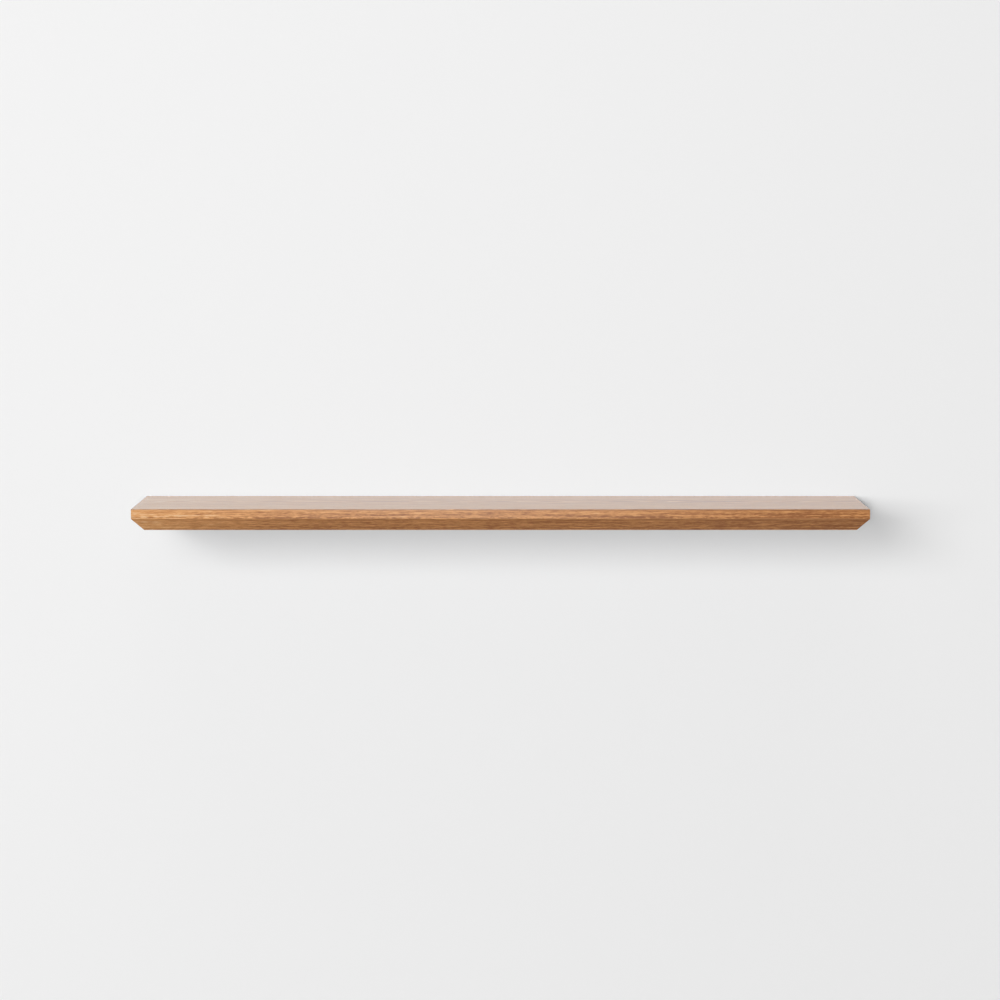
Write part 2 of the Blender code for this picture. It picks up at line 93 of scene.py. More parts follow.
def room_surface(name, corners, shade, passed_on, own_light):
    """A flat grey sheet through four corners, matt from the front and clear from behind. Only a share
    of its shade is passed on to other things, and a share of what is seen of it is its own light."""
    paint = bpy.data.materials.new(name)
    paint.use_nodes = True
    tree = paint.node_tree
    tree.nodes.clear()
    ray = add_node(tree, "ShaderNodeLightPath").outputs
    scattered = blend_colours(tree, ray["Is Diffuse Ray"], grey(shade), grey(shade * passed_on))
    matt = add_node(tree, "ShaderNodeBsdfDiffuse", {"Color": scattered}).outputs[0]
    lit = add_node(tree, "ShaderNodeEmission", {"Color": grey(shade), "Strength": 1.0}).outputs[0]
    seen = reckon(tree, "MAXIMUM", ray["Is Camera Ray"], ray["Is Glossy Ray"])
    share = reckon(tree, "MULTIPLY", seen, own_light)
    front = add_node(tree, "ShaderNodeMixShader", {0: share, 1: matt, 2: lit}).outputs[0]
    clear = add_node(tree, "ShaderNodeBsdfTransparent").outputs[0]
    side = add_node(tree, "ShaderNodeNewGeometry").outputs["Backfacing"]
    both = add_node(tree, "ShaderNodeMixShader", {0: side, 1: front, 2: clear}).outputs[0]
    add_node(tree, "ShaderNodeOutputMaterial", {"Surface": both})
    mesh = bpy.data.meshes.new(name)
    mesh.from_pydata(corners, [], [(0, 1, 2, 3)])
    mesh.materials.append(paint)
    sheet = bpy.data.objects.new(name, mesh)
    bpy.context.scene.collection.objects.link(sheet)


WALL_HALF, WALL_TOP, WALL_PLACE = 4.0, 3.3, -0.4 * MM
FLOOR_HALF, FLOOR_NEAR, FLOOR_FAR, FLOOR_LEVEL = 6.0, -7.5, 6.0, -1.35
room_surface("painted_wall", [(-WALL_HALF, WALL_PLACE, FLOOR_LEVEL), (WALL_HALF, WALL_PLACE, FLOOR_LEVEL),
                              (WALL_HALF, WALL_PLACE, WALL_TOP), (-WALL_HALF, WALL_PLACE, WALL_TOP)],
             shade=0.868, passed_on=1.0, own_light=0.0)
room_surface("pale_floor", [(-FLOOR_HALF, FLOOR_NEAR, FLOOR_LEVEL), (FLOOR_HALF, FLOOR_NEAR, FLOOR_LEVEL),
                            (FLOOR_HALF, FLOOR_FAR, FLOOR_LEVEL), (-FLOOR_HALF, FLOOR_FAR, FLOOR_LEVEL)],
             shade=0.84, passed_on=0.14, own_light=0.98)


# The light. A low bright window stands almost behind the viewer, a little above the board, with a
# fainter one to its left and a curtained one above that, so that the board throws a short shadow
# down and to the right and none upwards. A lamp behind the wall lights what is let into it.
def soft_lamp(name, azimuth, elevation, distance, wide, tall, level, mirrored=True):
    """A rectangular lamp aimed at the board. Its bearing and its breadth and height are angles seen
    from the board, and its power gives a white card at the board the given share of full brightness.
    One that is not mirrored leaves no glare, as a window behind a curtain doesn't."""
    lamp = bpy.data.lights.new(name, "AREA")
    lamp.shape = "RECTANGLE"
    lamp.size = 2.0 * distance * np.tan(radians(wide / 2.0))
    lamp.size_y = 2.0 * distance * np.tan(radians(tall / 2.0))
    lamp.energy = pi * pi * level * distance ** 2
    bearing, raised = radians(azimuth), radians(elevation)
    holder = bpy.data.objects.new(name, lamp)
    holder.location = (distance * np.sin(bearing) * np.cos(raised),
                       -distance * np.cos(bearing) * np.cos(raised), distance * np.sin(raised))
    holder.rotation_euler = (pi / 2.0 - raised, 0.0, bearing)
    holder.visible_camera = False
    holder.visible_glossy = mirrored
    bpy.context.scene.collection.objects.link(holder)


soft_lamp("low_window", azimuth=-1.8, elevation=2.7, distance=12.0, wide=7.6, tall=5.6, level=0.488)
soft_lamp("side_window", azimuth=-26.0, elevation=3.1, distance=9.0, wide=24.0, tall=5.2, level=0.115)
soft_lamp("upper_window", azimuth=-22.2, elevation=13.2, distance=9.0, wide=26.8, tall=13.4, level=0.355,
          mirrored=False)
soft_lamp("ceiling_glow", azimuth=0.0, elevation=80.0, distance=8.0, wide=40.0, tall=30.0, level=0.10)
soft_lamp("light_behind_wall", azimuth=160.0, elevation=20.0, distance=3.0, wide=50.0, tall=40.0, level=0.85)

# The rest of the room gives a little even light, and is seen, also in gloss, as a pale grey.
AIR_LIGHT, AIR_SHADE = 0.08, 0.84
air = bpy.data.worlds.new("pale_room")
bpy.context.scene.world = air
air.use_nodes = True
air.node_tree.nodes.clear()
ray = add_node(air.node_tree, "ShaderNodeLightPath").outputs
seen = reckon(air.node_tree, "MAXIMUM", ray["Is Camera Ray"], ray["Is Glossy Ray"])
strength = span(air.node_tree, seen, 0.0, 1.0, AIR_LIGHT, AIR_SHADE, "LINEAR")
backdrop = add_node(air.node_tree, "ShaderNodeBackground", {"Color": grey(1.0), "Strength": strength})
add_node(air.node_tree, "ShaderNodeOutputWorld", {"Surface": backdrop.outputs[0]})


# The wall plate: a 5 mm steel bar let flush into the board's back edge, laser cut with its corners
# rounded, drilled and countersunk, and powder coated black. Its cut edges are broken with a file.
def place_piece(name, mesh, body, node, finish, sharp=35.0):
    """Puts a finished mesh in the scene: its finish, smooth shading between near-flat faces, the body
    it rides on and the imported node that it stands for."""
    mesh.polygons.foreach_set("use_smooth", np.ones(len(mesh.polygons), bool))
    mesh.set_sharp_from_angle(angle=radians(sharp))
    mesh.materials.clear()
    mesh.materials.append(finish)
    piece = bpy.data.objects.new(name, mesh)
    bpy.context.scene.collection.objects.link(piece)
    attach(piece, body)
    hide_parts(node)
    return piece


JOIN_WITHIN, FLAT_WITHIN = 0.002 * MM, 0.3


def merged_copy(node):
    """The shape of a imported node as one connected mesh, its loose triangles joined at their corners."""
    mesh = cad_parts[node].data.copy()
    work = bmesh.new()
    work.from_mesh(mesh)
    bmesh.ops.remove_doubles(work, verts=work.verts, dist=JOIN_WITHIN)
    bmesh.ops.dissolve_limit(work, angle_limit=radians(FLAT_WITHIN), verts=work.verts, edges=work.edges)
    bmesh.ops.triangulate(work, faces=work.faces)
    work.to_mesh(mesh)
    work.free()
    return mesh


def flat_flats(piece):
    """Shades broad flats as flat, and leaves the turn of the light to the small faces beside them."""
    weighting = piece.modifiers.new("flat_flats", "WEIGHTED_NORMAL")
    weighting.weight = 100
    weighting.keep_sharp = True


def break_edges(piece, width):
    """Rounds the edges where two faces meet at more than 30 degrees."""
    rounding = piece.modifiers.new("broken_edges", "BEVEL")
    rounding.width = width
    rounding.segments = 2
    rounding.limit_method = "ANGLE"
    rounding.angle_limit = radians(30.0)
    rounding.use_clamp_overlap = True
    flat_flats(piece)


def new_group(name, inputs, outputs):
    """A node group with named sockets and what comes in at them. An input is given by its own value,
    which also tells a vector from a number."""
    group = bpy.data.node_groups.new(name, "ShaderNodeTree")
    for label, value in inputs.items():
        kind = "NodeSocketVector" if isinstance(value, tuple) else "NodeSocketFloat"
        made = group.interface.new_socket(name=label, in_out="INPUT", socket_type=kind)
        made.default_value = value
    for label in outputs:
        group.interface.new_socket(name=label, in_out="OUTPUT", socket_type="NodeSocketFloat")
    return group, add_node(group, "NodeGroupInput").outputs


def use_group(tree, group, inputs):
    """One use of a node group, with this finish's own values."""
    return add_node(tree, "ShaderNodeGroup", inputs, node_tree=group).outputs


# Uneven surface: slow and fine mottling that every finish of this shelf has a little of.
mottle_group, given = new_group("surface_mottle", {"Position": (0.0, 0.0, 0.0), "Broad": 40.0, "Fine": 900.0},
                                ["Broad Patches", "Fine Grains"])
mottles = {}
for label, scale, detail in (("Broad Patches", "Broad", 3.0), ("Fine Grains", "Fine", 2.0)):
    noise = add_node(mottle_group, "ShaderNodeTexNoise",
                     {"Vector": given["Position"], "Scale": given[scale], "Detail": detail})
    mottles[label] = noise.outputs["Fac"]
add_node(mottle_group, "NodeGroupOutput", mottles)


def new_finish(name):
    """A material with its output, its Principled shader and the object's own coordinates."""
    finish = bpy.data.materials.new(name)
    finish.use_nodes = True
    tree = finish.node_tree
    tree.nodes.clear()
    shader = add_node(tree, "ShaderNodeBsdfPrincipled")
    add_node(tree, "ShaderNodeOutputMaterial", {"Surface": shader.outputs[0]})
    return finish, tree, shader, add_node(tree, "ShaderNodeTexCoord").outputs["Object"]


def dress(tree, shader, colour, gloss, height, depth):
    """Links a finish's changing colour and roughness, and the bump of its height, to its shader."""
    bump = add_node(tree, "ShaderNodeBump", {"Height": height, "Distance": depth})
    for socket, value in (("Base Color", colour), ("Roughness", gloss), ("Normal", bump.outputs[0])):
        tree.links.new(value, shader.inputs[socket])


def even_finish(name, dark, light, metallic, rough, broad, fine, grain_height):
    """A metal, paint or plastic: its colour and gloss wander between two ends, over a fine grain."""
    finish, tree, shader, place = new_finish(name)
    spots = use_group(tree, mottle_group, {"Position": place, "Broad": broad, "Fine": fine})
    share = span(tree, spots["Broad Patches"], 0.3, 0.7)
    colour = blend_colours(tree, share, (*dark, 1.0), (*light, 1.0))
    wander = reckon(tree, "ADD", reckon(tree, "MULTIPLY", spots["Fine Grains"], 0.4),
                    reckon(tree, "MULTIPLY", spots["Broad Patches"], 0.6))
    shader.inputs["Metallic"].default_value = metallic
    dress(tree, shader, colour, span(tree, wander, 0.3, 0.7, *rough), spots["Fine Grains"], grain_height)
    return finish


COAT_DARK, COAT_LIGHT = (0.020, 0.020, 0.021), (0.034, 0.034, 0.036)
COAT_BROAD, COAT_FINE, COAT_GRAIN = 30.0, 1400.0, 0.05 * MM
black_powder_coat = even_finish("black_powder_coat", COAT_DARK, COAT_LIGHT, metallic=0.0, rough=(0.38, 0.52),
                                broad=COAT_BROAD, fine=COAT_FINE, grain_height=COAT_GRAIN)
plate = place_piece("wall_plate_coated", merged_copy("wall_plate"), "wall_bracket",
                    "wall_plate", black_powder_coat)
break_edges(plate, 0.35 * MM)


# The rods: four 12 mm round bars, turned down at the root, set through the plate and welded round in
# short overlapping beads, then coated with it. Sliding the board on has rubbed the coat at their tips.
def closed_grid(rows, columns, round_rows=False):
    """Faces of a grid whose every row is a ring; the rows themselves close up too if asked."""
    row = np.arange(rows if round_rows else rows - 1)[:, None]
    column = np.arange(columns)[None, :]
    after, beside = (row + 1) % rows, (column + 1) % columns
    return np.stack([row * columns + column, row * columns + beside,
                     after * columns + beside, after * columns + column], -1).reshape(-1, 4)


def outward(mesh):
    """Turns every face of a closed mesh outwards."""
    work = bmesh.new()
    work.from_mesh(mesh)
    bmesh.ops.recalc_face_normals(work, faces=work.faces)
    work.to_mesh(mesh)
    work.free()


def closed_mesh(name, points, faces, wear=None):
    """A closed mesh from its points in metres and its arrays of faces, turned outwards. Its wear, if
    given, is one value a point and is kept as a point attribute."""
    mesh = bpy.data.meshes.new(name)
    mesh.from_pydata(points.reshape(-1, 3).tolist(), [], [face for group in faces for face in group.tolist()])
    if wear is not None:
        kept = mesh.attributes.new("arris_wear", "FLOAT", "POINT")
        kept.data.foreach_set("value", np.asarray(wear, np.float32).ravel())
    mesh.update()
    outward(mesh)
    return mesh


def ring_angles(columns):
    """Equal steps once round a ring."""
    return np.arange(columns) * 2.0 * pi / columns


def turned(name, along, radius, axis, centre, wear=None):
    """A turned form: each row of the grid is a ring at its place along the axis, and both ends close
    in one flat fan. Radius is one value a point, along one a row or one a point, wear one a row."""
    rows, columns = radius.shape
    angle = ring_angles(columns)
    along = np.broadcast_to(along if along.ndim == 2 else along[:, None], radius.shape)
    ring = np.stack([radius * np.cos(angle), radius * np.sin(angle), along], -1)
    points = ring[..., {"y": [0, 2, 1], "z": [0, 1, 2]}[axis]].reshape(-1, 3)
    points = np.vstack([points, points[:columns].mean(0), points[-columns:].mean(0)]) + np.array(centre)
    first = np.arange(columns)
    beside = (first + 1) % columns
    last = (rows - 1) * columns
    start = np.stack([np.full(columns, rows * columns), beside, first], -1)
    end = np.stack([np.full(columns, rows * columns + 1), last + first, last + beside], -1)
    if wear is not None:
        wear = np.concatenate([np.repeat(wear, columns), wear[[0, -1]]])
    return closed_mesh(name, points, [closed_grid(rows, columns), start, end], wear)


def cloud(tree, place, stretch, detail=2.0, roughness=0.5):
    """Noise from 0 to 1 whose grains are one over the stretch long in each direction, in metres."""
    scaled = add_node(tree, "ShaderNodeVectorMath", {0: place, 1: stretch}, operation="MULTIPLY").outputs[0]
    return add_node(tree, "ShaderNodeTexNoise", {"Vector": scaled, "Scale": 1.0, "Detail": detail,
                    "Roughness": roughness}).outputs


# Where a coat or an arris has worn: the piece's own wear attribute, broken up by fine noise.
wear_group, given = new_group(
    "arris_wear", {"Position": (0.0, 0.0, 0.0), "Along": 60.0, "Across": 500.0, "Amount": 0.5}, ["Worn"])
worn_at = add_node(wear_group, "ShaderNodeAttribute", attribute_name="arris_wear").outputs["Fac"]
stretch = add_node(wear_group, "ShaderNodeCombineXYZ",
                   {0: given["Along"], 1: given["Across"], 2: given["Across"]}).outputs[0]
chips = cloud(wear_group, given["Position"], stretch, 3.0, 0.6)["Fac"]
eaten = reckon(wear_group, "SUBTRACT", reckon(wear_group, "MULTIPLY", worn_at, given["Amount"]), 0.5)
bare = span(wear_group, reckon(wear_group, "ADD", chips, eaten), 0.42, 0.58)
near = span(wear_group, worn_at, 0.0, 0.25)
add_node(wear_group, "NodeGroupOutput", {"Worn": reckon(wear_group, "MULTIPLY", bare, near)})

BARE_STEEL = (0.42, 0.41, 0.40)
rubbed_coat, tree, shader, place = new_finish("rubbed_powder_coat")
spots = use_group(tree, mottle_group, {"Position": place, "Broad": COAT_BROAD, "Fine": COAT_FINE})
lengthwise = add_node(tree, "ShaderNodeMapping", {"Vector": place, "Rotation": (0.0, 0.0, radians(90.0))})
rubbed = use_group(tree, wear_group, {"Position": lengthwise.outputs[0], "Along": 25.0, "Across": 1500.0,
                   "Amount": 0.72})["Worn"]
coat_colour = blend_colours(tree, spots["Broad Patches"], (*COAT_DARK, 1.0), (*COAT_LIGHT, 1.0))
steel_share = reckon(tree, "MULTIPLY", rubbed, 0.85)
rod_colour = blend_colours(tree, steel_share, coat_colour, (*BARE_STEEL, 1.0))
polish = reckon(tree, "SUBTRACT", spots["Fine Grains"], reckon(tree, "MULTIPLY", rubbed, 0.2))
tree.links.new(steel_share, shader.inputs["Metallic"])
dress(tree, shader, rod_colour, span(tree, polish, 0.1, 0.7, 0.28, 0.50), spots["Fine Grains"], COAT_GRAIN)

ROD_X = (-266.7, -88.9, 88.9, 266.7)
ROD_RADIUS, ROD_TIP, ROD_CHAMFER, SPIGOT_RADIUS, PLATE_THICKNESS = 6.0, -155.0, 1.5, 4.5, 5.0
WELD_START, WELD_LENGTH, WELD_RADIUS, WELD_RIPPLES = -5.02, 1.75, 7.4, 22.0
ROD_COLUMNS = 96
HOLD = 0.3  # how far from an edge a row of points keeps the flat face beside it flat
bead = np.linspace(0.0, 1.0, 9)
turn = np.linspace(0.0, pi / 2.0, 6)
# Each row of the rod's profile is its place off the wall, its radius and its wear.
spigot = [(-0.25, SPIGOT_RADIUS - 0.6, 0.0), (-0.20, SPIGOT_RADIUS - 0.2, 0.0), (-0.20, SPIGOT_RADIUS, 0.0),
          (-PLATE_THICKNESS, SPIGOT_RADIUS, 0.0)]
weld = np.stack(np.broadcast_arrays(WELD_START - WELD_LENGTH * bead, ROD_RADIUS, 0.0), -1)
stem = [(-6.9, ROD_RADIUS, 0.0), (-7.6, ROD_RADIUS, 0.0), (-60.0, ROD_RADIUS, 0.25),
        (-110.0, ROD_RADIUS, 0.45), (-150.0, ROD_RADIUS, 0.7),
        (ROD_TIP + ROD_CHAMFER + HOLD, ROD_RADIUS, 0.9)]
shoulder = np.stack(np.broadcast_arrays(ROD_TIP + ROD_CHAMFER * (1.0 - np.sin(turn)),
                                        ROD_RADIUS - ROD_CHAMFER * (1.0 - np.cos(turn)), 1.0), -1)
tip = [(ROD_TIP, ROD_RADIUS - ROD_CHAMFER - 0.6, 0.8)]
rod_along, rod_radius, rod_wear = np.vstack([spigot, weld, stem, shoulder, tip]).T
weld_rows = slice(len(spigot), len(spigot) + len(weld))
weld_swell = (WELD_RADIUS - ROD_RADIUS) * np.sin(pi * np.clip(bead * 0.82 + 0.18, 0.0, 1.0))
angle = ring_angles(ROD_COLUMNS)
for number, x in enumerate(ROD_X, 1):
    ripple = 0.5 + 0.5 * np.cos(angle * WELD_RIPPLES + 1.3 * np.sin(angle * 3.0 + number))
    radius = np.repeat(rod_radius[:, None], ROD_COLUMNS, 1)
    radius[weld_rows] += weld_swell[:, None] * (0.86 + 0.14 * ripple[None, :])
    rod = turned(f"rod_{number}_turned", rod_along * MM, radius * MM, "y", (x * MM, 0.0, 0.0), rod_wear)
    place_piece(f"rod_{number}_welded", rod, "wall_bracket", f"rod_{number}",
                rubbed_coat, sharp=50.0)


# The wall plugs: grey nylon, moulded with sawtooth rings and a split that lets the screw spread them.
# They fill their drilled holes in the wall behind the plate.
moulded_nylon = even_finish("moulded_nylon", (0.36, 0.37, 0.38), (0.44, 0.45, 0.46), metallic=0.0,
                            rough=(0.50, 0.62), broad=60.0, fine=1200.0, grain_height=0.02 * MM)
for number in range(1, 5):
    plug = place_piece(f"wall_plug_{number}_moulded", merged_copy(f"wall_plug_{number}"), "wall_bracket",
                       f"wall_plug_{number}", moulded_nylon, sharp=24.0)
    flat_flats(plug)


# The wall screws: zinc-plated steel, rolled thread, countersunk head with a pressed cross recess.
# They hold the plate to the plugs, and their heads sit just under the plate's face.
def screw_thread(along, angle, pitch, core, crest, start, finish):
    """Radius of a thread: a ramp up and down once a pitch, wound round with the angle, and faded in
    and out at both ends."""
    turn = (along[:, None] / pitch + angle[None, :] / (2.0 * pi)) % 1.0
    ridge = np.clip(1.6 * (1.0 - np.abs(2.0 * turn - 1.0)) - 0.35, 0.0, 1.0)
    fade = np.clip(np.minimum(along - start, finish - along) / pitch, 0.0, 1.0)[:, None]
    return core + (crest - core) * ridge * fade


def cross_depth(radius, angle, half_width, reach, depth, soft_edge=0.18):
    """How deep a cross recess is at each point of a head: each arm is a trough that shallows to its
    end, with a soft edge at each side."""
    across, along = np.abs(radius * np.sin(angle)), np.abs(radius * np.cos(angle))
    arms = [np.clip((half_width - a) / soft_edge + 0.5, 0.0, 1.0)
            * np.sqrt(np.clip(1.0 - (b / reach) ** 2, 0.0, 1.0)) ** 0.7
            for a, b in ((across, along), (along, across))]
    return depth * np.maximum(*arms)


zinc_plate = even_finish("zinc_plate", (0.60, 0.60, 0.58), (0.72, 0.73, 0.74), metallic=1.0,
                         rough=(0.24, 0.38), broad=120.0, fine=1600.0, grain_height=0.008 * MM)
SCREW_X = (-304.8, -203.2, 203.2, 304.8)
HEAD_FACE, HEAD_RADIUS, SHANK_RADIUS, CORE_RADIUS, CREST_RADIUS = -4.80, 4.75, 2.42, 1.72, 2.48
THREAD_START, TAPER_START, SCREW_COLUMNS = 12.0, 47.5, 108
# The head's face goes out from the middle; the body goes from the head's rim to the point.
face_radius = np.concatenate([np.linspace(0.12, 2.4, 25), [2.8, 3.6, 4.3, 4.62, 4.72, HEAD_RADIUS]])
face_along = np.interp(face_radius, [4.3, 4.62, 4.72, HEAD_RADIUS], [HEAD_FACE, -4.79, -4.74, -4.66])
body_along = np.concatenate([[-4.45, -4.38, -3.2, -2.25, -2.0, -1.6, 0.0, 11.0],
                             np.arange(THREAD_START, 53.4, 0.3), [53.8, 54.4, 54.9, 55.15]])
BODY_OUTLINE = [(-4.45, HEAD_RADIUS), (-4.38, 4.70), (-2.25, 2.62), (-2.0, SHANK_RADIUS),
                (11.0, SHANK_RADIUS), (THREAD_START, CORE_RADIUS), (TAPER_START, CORE_RADIUS),
                (53.4, 0.55), (55.15, 0.06)]
body_core = np.interp(body_along, *np.transpose(BODY_OUTLINE))
body_crest = np.interp(body_along, [TAPER_START, 53.4], [CREST_RADIUS, 1.0])
thread_height = np.maximum(body_crest - body_core, 0.0) * (body_along > THREAD_START - 0.5)
for number, x in enumerate(SCREW_X, 1):
    turn = ring_angles(SCREW_COLUMNS) + 0.4 * number
    ridge = screw_thread(body_along, turn, pitch=2.4, core=0.0, crest=1.0, start=THREAD_START, finish=54.2)
    shank = body_core[:, None] + thread_height[:, None] * ridge
    head = np.repeat(face_radius[:, None], SCREW_COLUMNS, 1)
    sunk = cross_depth(head, turn, half_width=0.55, reach=2.3, depth=1.6)
    along = np.vstack([face_along[:, None] + sunk, np.repeat(body_along[:, None], SCREW_COLUMNS, 1)])
    screw = turned(f"wall_screw_{number}_rolled", along * MM, np.vstack([head, shank]) * MM, "y",
                   (x * MM, 0.0, 0.0))
    place_piece(f"wall_screw_{number}_zinc", screw, "wall_bracket",
                f"wall_screw_{number}", zinc_plate, sharp=40.0)


# The core: five glued staves of pale softwood, bare wood, planed flat. The rear one is routed for the
# plate and bored for the rods, and shows where the board meets the wall.
log, given = new_group(
    "timber", {"Position": (0.0, 0.0, 0.0), "Pith": (0.0, 0.0, -0.06), "Lean": 0.03, "Ring Spacing": 0.003,
               "Wander": 0.004, "Fibre Length": 9.0},
    ["Late Wood", "Fibre", "Streak", "Fleck", "Pore", "Patch"])
# How many marks of each kind fit in a metre: along the grain, then both ways across it.
DRIFTS, VESSELS, FIBRES_ACROSS = (2.4, 16.0, 16.0), (95.0, 2300.0, 2300.0), 900.0
FLECKS, STREAKS, PATCHES = (112.0, 640.0, 640.0), (46.0, 620.0, 620.0), (1.6, 14.0, 14.0)
# The years: rings about a pith that leans and wanders, each pale and porous at first and dark late.
spot = given["Position"]
drift = add_node(log, "ShaderNodeSeparateColor", {0: cloud(log, spot, DRIFTS)["Color"]}).outputs
part = add_node(log, "ShaderNodeSeparateXYZ", {0: spot}).outputs
pith = add_node(log, "ShaderNodeSeparateXYZ", {0: given["Pith"]}).outputs
swing = [reckon(log, "MULTIPLY", reckon(log, "SUBTRACT", drift[i], 0.5), given["Wander"]) for i in (0, 1)]
from_pith_y = reckon(log, "ADD", reckon(log, "SUBTRACT", part["Y"], pith["Y"]), swing[0])
from_pith_z = reckon(log, "ADD", reckon(log, "SUBTRACT", part["Z"], pith["Z"]), swing[1])
from_pith_z = reckon(log, "ADD", from_pith_z, reckon(log, "MULTIPLY", part["X"], given["Lean"]))
from_pith = add_node(log, "ShaderNodeCombineXYZ", {1: from_pith_y, 2: from_pith_z}).outputs[0]
reach = add_node(log, "ShaderNodeVectorMath", {0: from_pith}, operation="LENGTH").outputs["Value"]
years = reckon(log, "DIVIDE", reach, given["Ring Spacing"])
uneven = add_node(log, "ShaderNodeTexNoise", {"W": reckon(log, "MULTIPLY", years, 0.45), "Scale": 1.0,
                  "Detail": 1.0}, noise_dimensions="1D").outputs["Fac"]
ring = reckon(log, "FRACT", reckon(log, "ADD", years, reckon(log, "MULTIPLY", uneven, 2.2)))
late = reckon(log, "MULTIPLY", span(log, ring, 0.18, 0.88), span(log, ring, 0.90, 1.0, 1.0, 0.0))
early = reckon(log, "MAXIMUM", span(log, ring, 0.05, 0.42, 1.0, 0.0), span(log, ring, 0.93, 1.0))
# The grain: pores mostly in the early wood, fibres, and flecks and streaks drawn out along them.
crowded = reckon(log, "ADD", 0.22, reckon(log, "MULTIPLY", early, 0.78))
pores = reckon(log, "MULTIPLY", span(log, cloud(log, spot, VESSELS, 1.0)["Fac"], 0.60, 0.72), crowded)
fibre_stretch = add_node(log, "ShaderNodeCombineXYZ",
                         {0: given["Fibre Length"], 1: FIBRES_ACROSS, 2: FIBRES_ACROSS}).outputs[0]
fibres = cloud(log, spot, fibre_stretch, 4.0, 0.6)["Fac"]
flecks = reckon(log, "MULTIPLY_ADD", reckon(log, "SUBTRACT", fibres, 0.5), 0.55,
                cloud(log, spot, FLECKS, 3.0, 0.6)["Fac"])
add_node(log, "NodeGroupOutput", {
    "Late Wood": late, "Fibre": fibres, "Streak": cloud(log, spot, STREAKS, 3.0, 0.6)["Fac"],
    "Fleck": span(log, flecks, 0.36, 0.64), "Pore": pores, "Patch": cloud(log, spot, PATCHES)["Fac"]})


def tone_shift(tree, value, marks):
    """A lighter or darker tone by place: marks are places in millimetres and their shifts, in order,
    and between two marks the shift runs evenly from one to the next."""
    low, high = marks[0][0], marks[-1][0]
    along = span(tree, value, low * MM, high * MM, kind="LINEAR")
    ramp = add_node(tree, "ShaderNodeValToRGB", {"Fac": along})
    stops = ramp.color_ramp.elements
    for index, (place, shift) in enumerate([marks[0], marks[-1], *marks[1:-1]]):
        stop = stops[index] if index < 2 else stops.new((place - low) / (high - low))
        stop.color = grey(0.5 + shift)
    return reckon(tree, "SUBTRACT", ramp.outputs[0], 0.5)


SOLID_SHARES = {"Late Wood": -0.14, "Fibre": 0.8, "Streak": 1.0, "Fleck": 0.30, "Patch": 0.24}
RAGGED = 2.6 * MM  # how far the flecks pull a mark's edge about


def wood_finish(name, figure, dark, middle, light, pale, pore_colour, rough, pore_depth=0.06 * MM,
                shift=(0.0, 0.0, 0.0), quarter_turn=False, shares=SOLID_SHARES, graded=(), coat_ior=None,
                worn_colour=None, worn_share=0.45, thrown_colour=None):
    """Wood cut from a log, whose figure places the log's pith and rings. Its tone is the late wood,
    fibre, streaks, flecks and patches added up by their shares, then graded by place with ragged
    marks, and picks a colour from dark through middle and light to pale. Pores are darker and sunk.
    A coat is lacquer on it, worn is the colour of its worn arrises, and thrown is the colour that it
    casts on matt things beside it."""
    finish, tree, shader, place = new_finish(name)
    lie = add_node(tree, "ShaderNodeMapping", {"Vector": place, "Location": shift,
                   "Rotation": (0.0, 0.0, radians(90.0) if quarter_turn else 0.0)}).outputs[0]
    timber = use_group(tree, log, {"Position": lie, **figure})
    tone = 0.5
    for label, share in shares.items():
        usual = 0.45 if label == "Late Wood" else 0.5
        tone = reckon(tree, "MULTIPLY_ADD", reckon(tree, "SUBTRACT", timber[label], usual), share, tone)
    for measure, marks in graded:
        spot = add_node(tree, "ShaderNodeSeparateXYZ", {0: place}).outputs[measure]
        pull = reckon(tree, "SUBTRACT", timber["Fleck"], 0.5)
        ragged = reckon(tree, "MULTIPLY_ADD", pull, RAGGED, spot)
        tone = reckon(tree, "ADD", tone, tone_shift(tree, ragged, marks))
    ramp = add_node(tree, "ShaderNodeValToRGB", {"Fac": tone})
    stops = ramp.color_ramp.elements
    stops[0].position, stops[0].color = 0.15, (*dark, 1.0)
    stops[1].position, stops[1].color = 0.85, (*light, 1.0)
    stops.new(0.5).color = (*middle, 1.0)
    stops.new(1.0).color = (*pale, 1.0)
    pore_share = reckon(tree, "MULTIPLY", timber["Pore"], 0.62)
    colour = blend_colours(tree, pore_share, ramp.outputs[0], (*pore_colour, 1.0))
    if worn_colour:
        worn = use_group(tree, wear_group, {"Position": lie, "Along": 45.0, "Across": 700.0, "Amount": 0.62})
        worn_part = reckon(tree, "MULTIPLY", worn["Worn"], worn_share)
        colour = blend_colours(tree, worn_part, colour, (*worn_colour, 1.0))
    if thrown_colour:
        beside = add_node(tree, "ShaderNodeLightPath").outputs["Is Diffuse Ray"]
        colour = blend_colours(tree, beside, colour, (*thrown_colour, 1.0))
    if coat_ior:
        shader.inputs["IOR"].default_value = 1.15
        shader.inputs["Coat IOR"].default_value = coat_ior
        shader.inputs["Coat Roughness"].default_value = 0.22
        tree.links.new(reckon(tree, "MULTIPLY_ADD", timber["Pore"], -0.5, 1.0), shader.inputs["Coat Weight"])
    gloss = span(tree, reckon(tree, "MULTIPLY_ADD", timber["Pore"], 0.8, tone), 0.2, 1.2, *rough)
    relief = reckon(tree, "SUBTRACT", reckon(tree, "MULTIPLY", timber["Fibre"], 0.25), timber["Pore"])
    dress(tree, shader, colour, gloss, relief, pore_depth)
    return finish


def refinish(node, finish):
    """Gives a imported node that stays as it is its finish."""
    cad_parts[node].data.materials.clear()
    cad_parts[node].data.materials.append(finish)


